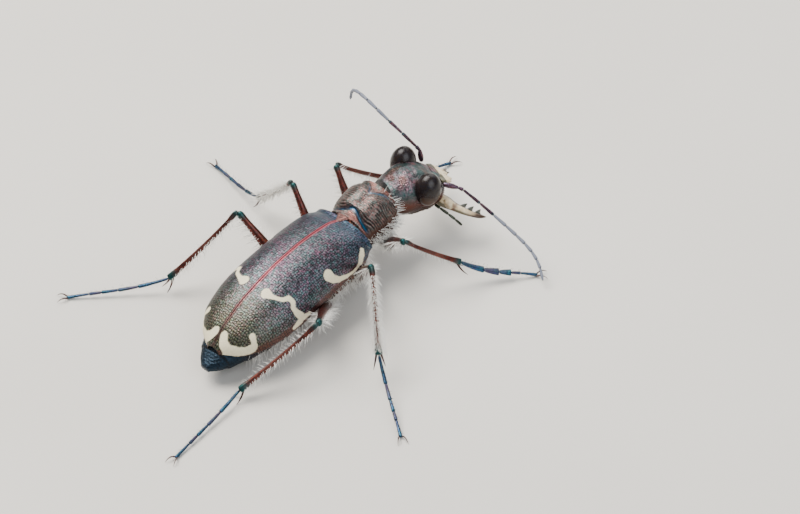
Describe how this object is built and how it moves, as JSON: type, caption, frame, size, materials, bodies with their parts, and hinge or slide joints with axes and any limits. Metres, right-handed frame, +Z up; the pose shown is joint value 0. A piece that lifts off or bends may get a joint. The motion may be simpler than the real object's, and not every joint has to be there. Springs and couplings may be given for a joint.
{
  "type": "tiger beetle model",
  "caption": "Life-size still model of a tiger beetle, a slim long-legged ground beetle with big eyes, sickle jaws and pale-marked wing cases, standing on its feet.",
  "frame": {"origin": "bottom centre of the bounding box, on the floor that the feet stand on", "axes": "+Z up; the head points to -Y; the left side of the beetle is +X"},
  "size_m": [0.02, 0.0232, 0.006],
  "materials": {
    "shell": "dark metallic cuticle, finely granulate",
    "cuticle": "coppery metallic cuticle",
    "leg": "coppery red metallic cuticle with white hairs",
    "foot": "teal metallic cuticle",
    "eye": "dark brown, glossy",
    "ivory": "pale ivory",
    "feeler": "dark metallic, grey-downy towards the tip"
  },
  "bodies": {
    "root": {"abdomen": "cuticle", "antenna_left": "feeler", "antenna_right": "feeler", "coxa_front_left": "leg", "coxa_front_right": "leg", "coxa_hind_left": "leg", "coxa_hind_right": "leg", "coxa_middle_left": "leg", "coxa_middle_right": "leg", "elytron_left": "shell", "elytron_right": "shell", "eye_left": "eye", "eye_right": "eye", "femur_front_left": "leg", "femur_front_right": "leg", "femur_hind_left": "leg", "femur_hind_right": "leg", "femur_middle_left": "leg", "femur_middle_right": "leg", "head": "cuticle", "labial_palp_left": "ivory", "labial_palp_right": "ivory", "labrum": "ivory", "mandible_left": "ivory", "mandible_right": "ivory", "maxillary_palp_left": "ivory", "maxillary_palp_right": "ivory", "prothorax": "cuticle", "pterothorax": "cuticle", "scutellum": "cuticle", "tarsus_front_left": "foot", "tarsus_front_right": "foot", "tarsus_hind_left": "foot", "tarsus_hind_right": "foot", "tarsus_middle_left": "foot", "tarsus_middle_right": "foot", "tibia_front_left": "leg", "tibia_front_right": "leg", "tibia_hind_left": "leg", "tibia_hind_right": "leg", "tibia_middle_left": "leg", "tibia_middle_right": "leg"}
  },
  "joints": []
}
